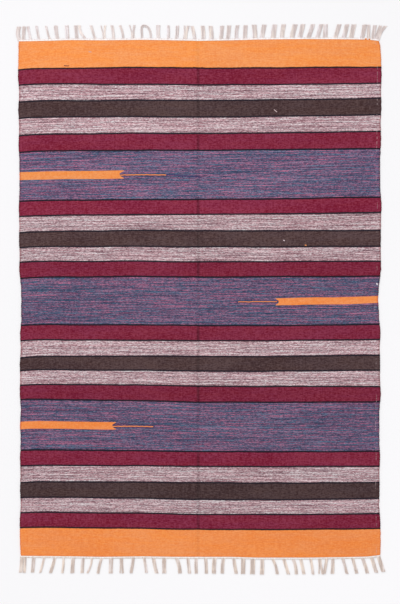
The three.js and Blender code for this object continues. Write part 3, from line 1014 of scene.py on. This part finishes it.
def across_end(end, spacing):
    """Places from selvedge to selvedge, this far apart."""
    corners = FAR_CORNERS if end["way"] > 0 else NEAR_CORNERS
    return np.arange(1 - WIDTH / 2 - corners[0], WIDTH / 2 + corners[1], spacing)


def heading_paths(end):
    """The picks of a heading, which go over one pair of warps and under the next."""
    found = []
    for number, distance in enumerate(PICKS_AT):
        path = []
        for x in across_end(end, WARP_GAP / 2):
            z = PICK_HEIGHT + 0.25 * math.cos(math.pi * (x / WARP_GAP + number))
            path.append(place(x, beyond(end, x, distance + 0.12 * uneven(x)), z))
        found.append((path, [1.1] * len(path)))
    return found


def cord_paths(end):
    """The two strands of the cord, half a turn apart."""
    found = []
    for strand in range(2):
        path = []
        for x in across_end(end, 1.7):
            turn = 2 * math.pi * x / CORD_TURN + math.pi * strand
            distance = CORD_AT + 0.5 * math.cos(turn)
            path.append(place(x, beyond(end, x, distance), CORD_HEIGHT + 0.7 * math.sin(turn)))
        found.append((path, [1.0] * len(path)))
    return found


tassel_pieces, heading_pieces = [], []
for end in ENDS:
    paths = [path for t in end["tassels"] for k in range(locks_of(t)) for path in lock_paths(end, t, k)]
    paths += cord_paths(end)
    if end["name"] == "far":
        paths += loop_paths(end, -LOOP_HALF) + loop_paths(end, LOOP_HALF)
    tassel_pieces.append(strands("tassels_" + end["name"], paths, YARN_RADIUS))
    heading_pieces.append(strands("heading_" + end["name"], heading_paths(end), 1.0))
for piece in tassel_pieces + heading_pieces:
    print(piece.name, "-", sum(len(p.vertices) - 2 for p in piece.data.polygons), "triangles")

# %% [markdown]
# ## Cotton
#
# Undyed cotton isn't white: it is cream, a little greyer where it was handled, and each warp has its
# own shade. The headings were washed paler than the tassels, and over the far one two stitches of the
# orange weft have strayed by the right corner. The near tassels and heading are painted paler than the
# far ones, painted light for the near end, where less light falls and the cloth's edge shades the
# heading, and the tassels' tips are darkened with painted shade. Fine bands of relief at a slant stand
# for the spin.

# %% Undyed cotton
SHADED_TIPS_FROM = 1.046  # metres along the rug, from where the tassels' tips are darkened with painted shade
STITCH_HALF, STRAY_ORANGE = 0.0033, (240, 138, 66)
# The near pieces' shades are paler: painted light for the near end, where less light falls
# The finish of each piece: its name, its cream, grey and dull shades, and where stray stitches cross it
COTTONS = {
    "tassels_far": ("far_cotton", (251, 239, 232), (249, 240, 242), (226, 212, 209), ()),
    "tassels_near": ("near_cotton", (265, 250, 238), (261, 250, 247), (232, 215, 206), ()),
    "heading_far": ("far_heading_cotton", (258, 254, 253), (254, 252, 254), (246, 239, 236), (640, 654)),
    "heading_near": ("near_heading_cotton", (263, 260, 259), (260, 258, 259), (252, 246, 243), ()),
}


def undyed_cotton(name, cream, grey, dull, stitches):
    f = Finish(name, 0.95)
    x, y, z = f.parts(f.node("ShaderNodeTexCoord", output="Object"))
    own = f.cloud(x * 110, y * 12, 1.0)
    stain = f.cloud(x * 9, y * 30, 2.0)
    # painted shade: the tassels' tips darken towards the dull shade
    tip = f.clear((abs(y) - SHADED_TIPS_FROM) / 0.012)
    tone = f.clear((own - 0.5) * 3.4 + (stain - 0.5) * 1.2 + 0.42 - tip * 0.35)
    tint = f.clear((f.cloud(x * 30 + 7, y * 9, 2.0) - 0.5) * 4.0 + 0.5)
    yarn = f.mix(tone, dye(*dull), f.mix(tint, dye(*grey), dye(*cream)))
    for at in stitches:
        yarn = f.mix(abs(x - at * MM) < STITCH_HALF, yarn, dye(*STRAY_ORANGE))
    f.colour(yarn)
    spin = f.maths("SINE", (x + y) * 4200 + z * 2600)
    f.relief(spin * 0.25 + f.cloud(x * 900, y * 900, 1.0) * 0.5, 0.0003)
    return f.material


for piece in tassel_pieces + heading_pieces:
    piece.data.materials.append(undyed_cotton(*COTTONS[piece.name]))
print("cotton on", len(tassel_pieces + heading_pieces), "pieces")

# %% [markdown]
# ## Hand over to the frame
#
# Each piece rides on the frame's one body and stands for the plain solid that it covers. The cloth was
# woven 1.40 by 2.00 m, and it is laid flat.

# %% Hand over
def hand_over(piece, node):
    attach(piece, "root")
    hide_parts(node)


hand_over(cloth, "panel")
for end, tassels, heading in zip(ENDS, tassel_pieces, heading_pieces):
    hand_over(tassels, "fringe_" + end["name"])
    hand_over(heading, "fringe_" + end["name"])
print("handed over:", ", ".join(piece.name for piece in [cloth, *tassel_pieces, *heading_pieces]))
